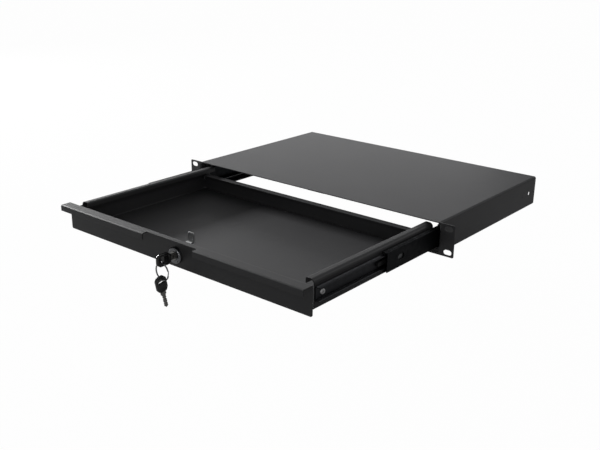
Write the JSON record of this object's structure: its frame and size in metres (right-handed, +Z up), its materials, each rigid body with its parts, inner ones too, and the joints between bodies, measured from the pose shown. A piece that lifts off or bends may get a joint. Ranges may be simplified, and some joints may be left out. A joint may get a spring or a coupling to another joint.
{
  "type": "sliding rack drawer",
  "caption": "One-unit 19-inch rack drawer: bent sheet housing with ears, shallow tray on ball slides, front pull lip and a cam lock with keys.",
  "frame": {"origin": "centre of the four rack holes, on the front plane of the mounting ears", "axes": "+X to the right seen from the front, +Y into the rack, +Z up; stored with the drawer pulled fully out"},
  "size_m": [0.4826, 0.5672, 0.0899],
  "materials": {
    "housing_sheet": "fine textured black powder coat",
    "tray_sheet": "fine textured black powder coat",
    "panel_sheet": "fine textured black powder coat",
    "slide_steel": "black zinc plate",
    "cage_steel": "bright zinc plate",
    "bearing_balls": "polished",
    "zinc_screws": "bright zinc plate",
    "chromed_lock": "polished",
    "lock_core": "satin nickel",
    "zinc_cam": "zinc plate",
    "key_plastic": "black, slightly glossy",
    "key_steel": "nickel plate",
    "ring_steel": "polished",
    "lever_plastic": "black",
    "bumper_rubber": "black"
  },
  "bodies": {
    "housing": {"housing_shell": "housing_sheet", "lock_strike": "housing_sheet", "cabinet_screws": "slide_steel", "right_cabinet_member": "slide_steel", "left_cabinet_member": "slide_steel", "right_bumper": "bumper_rubber", "left_bumper": "bumper_rubber"},
    "drawer": {"drawer_tray": "tray_sheet", "back_wall": "tray_sheet", "front_panel": "panel_sheet", "drawer_screws": "zinc_screws", "right_drawer_member": "slide_steel", "left_drawer_member": "slide_steel", "lever_pins": "zinc_screws", "lock_barrel": "chromed_lock", "lock_nut": "zinc_screws"},
    "lock_plug": {"lock_plug": "lock_core", "lock_cam": "zinc_cam", "cam_screw": "zinc_screws"},
    "key": {"key_bow": "key_plastic", "key_blade": "key_steel"},
    "key_ring": {"key_ring": "ring_steel"},
    "spare_key": {"spare_key_bow": "key_plastic", "spare_key_blade": "key_steel"},
    "right_middle": {"right_middle_member": "slide_steel"},
    "right_outer_cage": {"right_outer_cage": "cage_steel", "right_outer_balls": "bearing_balls"},
    "right_inner_cage": {"right_inner_cage": "cage_steel", "right_inner_balls": "bearing_balls"},
    "right_lever": {"right_release_lever": "lever_plastic"},
    "left_middle": {"left_middle_member": "slide_steel"},
    "left_outer_cage": {"left_outer_cage": "cage_steel", "left_outer_balls": "bearing_balls"},
    "left_inner_cage": {"left_inner_cage": "cage_steel", "left_inner_balls": "bearing_balls"},
    "left_lever": {"left_release_lever": "lever_plastic"}
  },
  "joints": [
    {"name": "drawer_slide", "type": "slide", "parent": "housing", "child": "drawer", "axis": [0, 1, 0], "range_m": [0, 0.25]},
    {"name": "right_middle_slide", "type": "slide", "parent": "housing", "child": "right_middle", "axis": [0, 1, 0], "range_m": [0, 0.125]},
    {"name": "right_outer_cage_slide", "type": "slide", "parent": "housing", "child": "right_outer_cage", "axis": [0, 1, 0], "range_m": [0, 0.0625]},
    {"name": "right_inner_cage_slide", "type": "slide", "parent": "housing", "child": "right_inner_cage", "axis": [0, 1, 0], "range_m": [0, 0.1875]},
    {"name": "left_middle_slide", "type": "slide", "parent": "housing", "child": "left_middle", "axis": [0, 1, 0], "range_m": [0, 0.125]},
    {"name": "left_outer_cage_slide", "type": "slide", "parent": "housing", "child": "left_outer_cage", "axis": [0, 1, 0], "range_m": [0, 0.0625]},
    {"name": "left_inner_cage_slide", "type": "slide", "parent": "housing", "child": "left_inner_cage", "axis": [0, 1, 0], "range_m": [0, 0.1875]},
    {"name": "right_lever_pivot", "type": "hinge", "parent": "drawer", "child": "right_lever", "pos_m": [0.2089, -0.0951, -0.00053], "axis": [1, 0, 0], "range_deg": [-8, 8], "stiffness_Nm_per_rad": 0.02},
    {"name": "left_lever_pivot", "type": "hinge", "parent": "drawer", "child": "left_lever", "pos_m": [-0.2089, -0.0951, -0.00053], "axis": [1, 0, 0], "range_deg": [-8, 8], "stiffness_Nm_per_rad": 0.02},
    {"name": "lock_turn", "type": "hinge", "parent": "drawer", "child": "lock_plug", "pos_m": [0, -0.2518, -0.00483], "axis": [0, 1, 0], "range_deg": [0, 90]},
    {"name": "key_pull", "type": "slide", "parent": "lock_plug", "child": "key", "axis": [0, -1, 0], "range_m": [0, 0.03]},
    {"name": "ring_swing", "type": "hinge", "parent": "key", "child": "key_ring", "pos_m": [0, -0.2756, -0.00888], "axis": [1, 0, 0], "range_deg": [-45, 30]},
    {"name": "spare_key_swing", "type": "hinge", "parent": "key_ring", "child": "spare_key", "pos_m": [0, -0.2756, -0.03088], "axis": [1, 0, 0], "range_deg": [-40, 40]}
  ],
  "couplings": [
    {"joint": "right_middle_slide", "follows": "drawer_slide", "ratio": 0.5},
    {"joint": "right_outer_cage_slide", "follows": "drawer_slide", "ratio": 0.25},
    {"joint": "right_inner_cage_slide", "follows": "drawer_slide", "ratio": 0.75},
    {"joint": "left_middle_slide", "follows": "drawer_slide", "ratio": 0.5},
    {"joint": "left_outer_cage_slide", "follows": "drawer_slide", "ratio": 0.25},
    {"joint": "left_inner_cage_slide", "follows": "drawer_slide", "ratio": 0.75}
  ]
}
